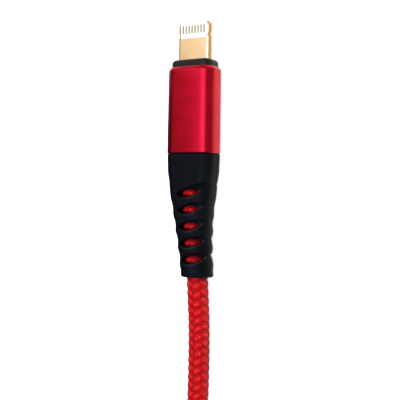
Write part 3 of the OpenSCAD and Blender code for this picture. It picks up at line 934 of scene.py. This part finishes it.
def braid(name, parts, material):
    """One braided mesh of several tubes.

    Each is (line, run before it, step, sides, relief, is it coarse, light). The light is a function that
    says how open the boot is over each point, painted into the cord's colour as shade, or None outside the
    boots.
    """
    points, faces, uvs, coarse, seen, ends, end_uvs = [], [], [], [], [], [], []
    count = 0
    for line, start, step, sides, relief, rough, light_at in parts:
        p, f, uv, caps = braided_tube(line, start, step, sides, relief)
        points.append(p)
        seen.append(light_at(p) if light_at else np.full(len(p), NO_BOOT))
        faces.append(f + count)
        uvs.append(uv)
        coarse.append(np.full(len(p), float(rough)))
        for cap in caps:
            ends.append([i + count for i in cap])
            end_uvs += [(0.5, 0.5)] * len(cap)
        count += len(p)
    piece = build(name, np.vstack(points), np.vstack(faces).tolist() + ends, material)
    layer = piece.data.uv_layers.new(name="braid")
    flat = np.vstack([*uvs, np.array(end_uvs)])
    layer.data.foreach_set("uv", flat.astype(np.float32).ravel())
    paint(piece, "coarse", np.concatenate(coarse))
    # Painted shade under the boots' windows, read by the braid's colour
    paint(piece, "open", np.concatenate(seen))
    return piece


def ease(t):
    """Smooth step from 0 to 1."""
    t = min(1.0, max(0.0, t))
    return t * t * (3 - 2 * t)


def hank_run(side, wide, narrow, z, start, end, steps=14):
    """One run of the hank, drawn in to the waist and lifted over the strap's foot."""
    out = []
    for k in range(steps + 1):
        y = start + (end - start) * k / steps
        u = min(1, max(0, (HANK_END_Y - y) / HANK_RUN))
        waist = math.sin(math.pi * u) ** 2
        spread = 0.35 * math.sin(2 * math.pi * u) ** 2 if wide > HANK_INNER else 0
        out.append((side * (wide - (wide - narrow) * waist + spread), y, z + 0.8 * waist))
    return out


def hank_turn(x, y, radius, start, end, z0, z1, climb, steps=14):
    """One fold of the hank, which climbs from z0 to z1 over that part of it."""
    out = []
    for k in range(1, steps):
        a = math.radians(start + (end - start) * k / steps)
        z = z0 + (z1 - z0) * ease((k / steps - climb[0]) / (climb[1] - climb[0]))
        out.append((x + radius * math.cos(a), y + radius * math.sin(a), z))
    return out


def hank_route():
    """Four turns, beside and on each other, from the lead to the loop that crosses to the tail."""
    low, middle = CORD_R, CORD_R + CORD_D
    inner, outer = 0.5 * CORD_D, 1.5 * CORD_D
    lanes = (
        (HANK_OUTER, outer, low), (HANK_INNER, inner, low),
        (HANK_INNER, inner, middle), (HANK_OUTER, outer, middle),
    )
    tail = (-TAIL_ROUTE[0][0], TAIL_ROUTE[0][2])
    ends = ((HANK_INNER, low), (HANK_INNER, middle), (HANK_OUTER, middle), tail)
    rises = (CORD_D, 0.0, CORD_D, 2 * CORD_D)
    route = []
    rise = 0.0
    for k, (wide, narrow, z) in enumerate(lanes):
        route += hank_run(-1, wide, narrow, z, HANK_END_Y + rise, HANK_FAR_Y)
        rise = rises[k]
        next_wide, next_z = ends[k]
        climb = (0.0, 0.65) if k == len(lanes) - 1 else (0.25, 0.97)
        route += hank_turn(0, HANK_FAR_Y, wide, 180, 360, z, z, climb)
        route += hank_run(1, wide, narrow, z, HANK_FAR_Y, HANK_END_Y + rise)
        middle_x, radius = (wide - next_wide) / 2, (wide + next_wide) / 2
        route += hank_turn(middle_x, HANK_END_Y + rise, radius, 0, 180, z, next_z, climb)
    return route


def cord_route():
    """The whole route of the loose cord, without points that nearly coincide."""
    route = [*LEAD_ROUTE, *hank_route(), *TAIL_ROUTE]
    kept = [route[0]]
    for point in route[1:]:
        if math.dist(point, kept[-1]) > 0.6:
            kept.append(point)
    return kept


def boot_line(bend, back, front=-1.5):
    """The cord's line inside a boot, as (x, mm behind the mouth, 0), from its end to inside the shell."""
    s = np.arange(back, front, -LINE_STEP)
    return np.stack([bend * boot_lean(s / BOOT_LEN), -s, np.zeros(len(s))], 1)


# ---------------------------------------- strap

def strap(material):
    """Hook-and-loop strap round the hank's waist, with its end lapped over its top and one side."""
    top = 2 * CORD_D + 1.2
    path = outline(4 * CORD_D + 0.8, top - 0.4, CORD_R + 0.4, 8) + (0, (top + 0.4) / 2)
    closed = np.vstack([path, path[:1]])
    run = run_along(closed)
    at = np.linspace(0, run[-1], STRAP_POINTS + 1)[:-1]
    path = np.stack([np.interp(at, run, closed[:, k]) for k in (0, 1)], 1)
    step = np.roll(path, -1, axis=0) - np.roll(path, 1, axis=0)
    step /= np.linalg.norm(step, axis=1)[:, None]
    out = np.stack([step[:, 1], -step[:, 0]], 1)
    mid = (HANK_END_Y + HANK_FAR_Y) / 2

    def strap_ring(k, section, lift=0.0):
        (x, z), (ox, oz) = path[k], out[k]
        return [(x + ox * (lift + b), mid + a, z + oz * (lift + b)) for a, b in section]

    section = outline(STRAP_W, STRAP_T, 0.3, 4)
    points, faces = skin([strap_ring(k, section) for k in range(len(path))], loop=True)
    band = build("strap_band", points, faces, material, 60)
    lap = [k for k, (x, z) in enumerate(path) if (z > top - 0.1 and x < 3) or (x < -3 and z > 3)]
    rings = []
    for n, k in enumerate(lap):
        tip = ease(min(n, len(lap) - 1 - n) / 3)
        thin = 0.35 + 0.65 * tip
        section = outline(STRAP_W - 1.6 * (1 - tip), 0.64 * thin, 0.11, 4)
        rings.append(strap_ring(k, section, 0.34 + 0.34 * thin))
    points, faces = skin(rings)
    return band, build("strap_lap", points, faces, material, 60)


# ---------------------------------------- stage

def show_stage():
    """Pale floor, studio lights and the camera."""
    world = bpy.data.worlds.new("studio")
    bpy.context.scene.world = world
    world.use_nodes = True
    world.node_tree.nodes["Background"].inputs[0].default_value = (1, 1, 1, 1)
    world.node_tree.nodes["Background"].inputs[1].default_value = 0.5
    pale_floor()
    cards()
    light("sky_panel", -31, 0.285, 0.47, 1.22, along=0.375)
    light("band_panel", 5.1, 0.493, 0.65, 2.1, along=-0.125, colour=(0.95, 1.15, 2.2))
    fill_light()
    camera()


def pale_floor():
    """White paper that glows a little, so that it stays even."""
    g = Graph("pale_floor")
    paper = g.noise(0.6, 4)
    g.set(
        Base_Color=g.blend(g.span(paper, 0.0, 1.0), (0.93, 0.93, 0.93), (0.96, 0.96, 0.96)), Roughness=0.9,
        Normal=g.bump(paper, 0.01), Specular_IOR_Level=0.1, Emission_Color=(1, 1, 1, 1),
        Emission_Strength=0.62,
    )
    half = 1500
    corners = [(-half, -half, 0), (half, -half, 0), (half, half, 0), (-half, half, 0)]
    floor = build("floor", corners, [[0, 1, 2, 3]], g.material)


def cards():
    """Black flags and a grey card low beside the plug, and black cards upright at its left and end."""
    near, step, far = -60, 15.5, 30
    black = Graph("black_flag").set(Base_Color=(0.01, 0.01, 0.01, 1), Roughness=1.0)
    grey = Graph("grey_flag").set(
        Base_Color=(0.01, 0.01, 0.01, 1), Roughness=1.0, Emission_Color=(1, 1, 1, 1), Emission_Strength=1.2)
    flag("left_flag", [(-200, near), (-5.3, near), (-5.3, step), (-200, step)], 0.1, black)
    flag("right_flag", [(22, near), (200, near), (200, far), (12, far), (12, step), (22, step)], 0.1, black)
    beside = [(4.7, near), (22, near), (22, far), (3.5, far), (3.5, step), (4.7, step)]
    flag("right_card", beside, 0.06, grey)
    left_card = flag("left_card", [(0, -400), (260, -400), (260, 85), (0, 85)], 0, black)
    left_card.rotation_euler = (0, -math.pi / 2, 0)
    left_card.location = (-0.3, 0, 0.001)
    end_card = flag("end_card", [(-400, 0), (400, 0), (400, 320), (-400, 320)], 0, black)
    end_card.rotation_euler = (math.pi / 2, 0, 0)
    end_card.location = (0, -0.26, 0.001)


def fill_light():
    """Broad soft sun from above, kept out of the reflections."""
    sun = bpy.data.lights.new("fill", "SUN")
    sun.energy = 1.6
    sun.angle = math.radians(70)
    lamp = bpy.data.objects.new("fill", sun)
    lamp.visible_glossy = False
    lamp.rotation_euler = (math.radians(12), math.radians(12), 0)
    bpy.context.scene.collection.objects.link(lamp)


def flag(name, flat, z, material):
    """Card on the set that only reflections see."""
    card = build(name, [(x, y, z) for x, y in flat], [list(range(len(flat)))], material)
    card.visible_camera = card.visible_diffuse = card.visible_shadow = False
    return card


def light(name, degrees, width, length, radiance, distance=0.62, along=0.0, colour=(1, 1, 1)):
    """Soft panel over the plug, that many degrees from straight up towards +X and that far along +Y."""
    a = math.radians(degrees)
    data = bpy.data.lights.new(name, "AREA")
    data.shape = "RECTANGLE"
    data.size = width
    data.size_y = length
    data.energy = radiance * math.pi * width * length
    data.color = colour
    lamp = bpy.data.objects.new(name, data)
    lamp.location = (distance * math.sin(a), along, distance * math.cos(a))
    lamp.rotation_euler = (0, a, 0)
    bpy.context.scene.collection.objects.link(lamp)


def camera():
    """Camera over the plug, turned from straight up towards +X."""
    data = bpy.data.cameras.new("camera")
    data.sensor_width = SENSOR
    data.lens = SENSOR * VIEW_DISTANCE / VIEW_WIDTH
    data.clip_start = 0.005
    eye = bpy.data.objects.new("camera", data)
    view = math.radians(VIEW_DEGREES)
    back = Vector((math.sin(view), 0, math.cos(view)))
    right = Vector((math.cos(view), 0, -math.sin(view)))
    up = Vector((0, 1, 0))
    aim = Vector((0, AIM_Y, AXIS_Z)) * MM + right * AIM_RIGHT * MM
    roll = math.radians(VIEW_ROLL)
    tilted_up = up * math.cos(roll) - right * math.sin(roll)
    tilted_right = right * math.cos(roll) + up * math.sin(roll)
    turn = Matrix((tilted_right, tilted_up, back)).transposed()
    eye.matrix_world = Matrix.Translation(aim + back * (VIEW_DISTANCE * MM)) @ turn.to_4x4()
    bpy.context.scene.collection.objects.link(eye)
    bpy.context.scene.camera = eye


# ---------------------------------------- the whole cable

def device_end(finish, stand):
    """The device plug with its boot."""
    red = shell("device_shell", DEVICE_SHELL, 0.6, SHELL_BACK_Y, SHELL_FRONT_Y, device,
                finish["red_anodised"])
    stand(red, "device_plug", "aluminium_shell")
    nose = collar("device_collar", DEVICE_COLLAR, 13.3, COLLAR_Y, (TAB_W, TAB_T, 0.748), device,
                  finish["black_collar"])
    stand(nose, "device_plug", "collar")
    rails, inside, contacts = tab(finish["gold_plating"], finish["white_insulator"], finish["contact_gold"])
    stand(rails, "device_plug", "plug_tab")
    stand(inside, "device_plug", "contact_block")
    stand(contacts, "device_plug", "front_contacts", "rear_contacts")
    rubber = boot("device_boot", DEVICE_BOOT, BOOT_BEND, DEVICE_NOSE, 0.125, device_boot_place,
                  finish["black_boot"])
    stand(rubber, None, "boot")
    line = device_boot_place(boot_line(BOOT_BEND, BOOT_LEN - 0.9))
    core = braid("device_boot_braid", [
        (line, 3.0, FINE_STEP, FINE_SIDES, FINE_RELIEF, False, device_boot_light),
    ], finish["red_braid"])
    stand(core, None, "boot_cord")
    for piece in (rubber, core):
        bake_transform(piece)


def loose_cord(finish, stand):
    """The cord between the boots and its strap; also returns the cord's line."""
    line = smooth_line(cord_route(), LINE_STEP)
    line = np.vstack([[(BOOT_BEND, BOOT_END_Y + 1.0, AXIS_Z), (BOOT_BEND, BOOT_END_Y + 0.5, AXIS_Z)], line])
    near = int(FINE_LEN / LINE_STEP)
    cord = braid("braided_cord", [
        (line[: near + 1], 0.0, FINE_STEP, FINE_SIDES, FINE_RELIEF, False, None),
        (line[near:], FINE_LEN, COARSE_STEP, COARSE_SIDES, COARSE_RELIEF, True, None),
    ], finish["red_braid"])
    stand(cord, "cord_assembly", "cord_lead", "cord_hank", "cord_tail")
    band, lap = strap(finish["tie_strap"])
    stand(band, "cord_assembly", "cable_tie")
    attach(lap, "cord_assembly")
    return cord, line, band, lap


def host_metal(material):
    """Flat metal shell of the host plug, with two latch windows in each wide face."""
    w, t, r = HOST_METAL
    front = BOOT_LEN + 32.1
    rings = [ring(w - 2 * i, t - 2 * i, r - i, front - behind) for behind, i in (
        (16, 0.3), (18, 0.3), (18, 0.02), (17.9, 0), (9, 0), (0.5, 0), (0.15, 0.02), (0.04, 0.07),
        (0, 0.14), (0.02, 0.25), (0.1, 0.3), (3, 0.3))]
    points, faces = skin(rings, loop=True)
    metal = build("host_metal_shell", host(points), faces, material, 50)
    latches = [((x - 1.25, front - 6.2, -4), (x + 1.25, front - 4.2, 4)) for x in (-2.8, 2.8)]
    cut(metal, blocks("latch_cut", latches, material, host))
    return metal


def host_end(finish, stand):
    """The host plug with its boot."""
    cover = shell("host_cover_skin", HOST_COVER, 0.7, BOOT_LEN, BOOT_LEN + COVER_LEN, host,
                  finish["red_anodised"])
    stand(cover, "host_plug", "host_cover")
    nose = collar("host_collar_ring", HOST_COLLAR, BOOT_LEN + 17, BOOT_LEN + 20.1, HOST_METAL, host,
                  finish["black_collar"])
    stand(nose, "host_plug", "host_collar")
    metal = host_metal(finish["plated_steel"])
    stand(metal, "host_plug", "host_shell")
    back = boot("host_boot_rubber", HOST_BOOT, 0.0, HOST_NOSE, 0.15, host_boot_place, finish["black_boot"])
    stand(back, None, "host_boot")
    host_core = braid("host_boot_braid", [
        (host_boot_place(boot_line(0.0, BOOT_LEN)), 0.0, 0.12, 96, FINE_RELIEF, False, host_boot_light),
    ], finish["red_braid"])
    stand(host_core, None, "host_boot_cord")
    for piece in (back, host_core):
        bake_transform(piece)
    return [cover, nose, metal, back, host_core]


def main():
    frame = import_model()
    bpy.context.scene.view_settings.view_transform = "Standard"
    finish = finishes()
    slots = {s["node"]: s["material_slot"] for s in frame["record"]["subparts"]}
    for node, piece in frame["nodes"].items():
        piece.data.materials.clear()
        piece.data.materials.append(finish[slots[node]])

    def stand(piece, body, *nodes):
        """Puts a piece in the place of CAD nodes, on a body unless it bends between two."""
        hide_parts(*nodes)
        if body:
            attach(piece, body)

    device_end(finish, stand)
    cord, line, band, lap = loose_cord(finish, stand)
    host_pieces = host_end(finish, stand)
    for node in ("host_tongue", "host_contacts", "inner_moulding", "circuit_board", "controller_chip",
                 "power_chip", "board_capacitors", "host_moulding"):
        soften(frame["nodes"][node], 0.06, 2)

    on_it = [band, lap, *host_pieces]
    on_it += [piece for node, piece in frame["nodes"].items()
              if piece["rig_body"] == "host_plug" and not piece.hide_render]
    show_stage()


main()
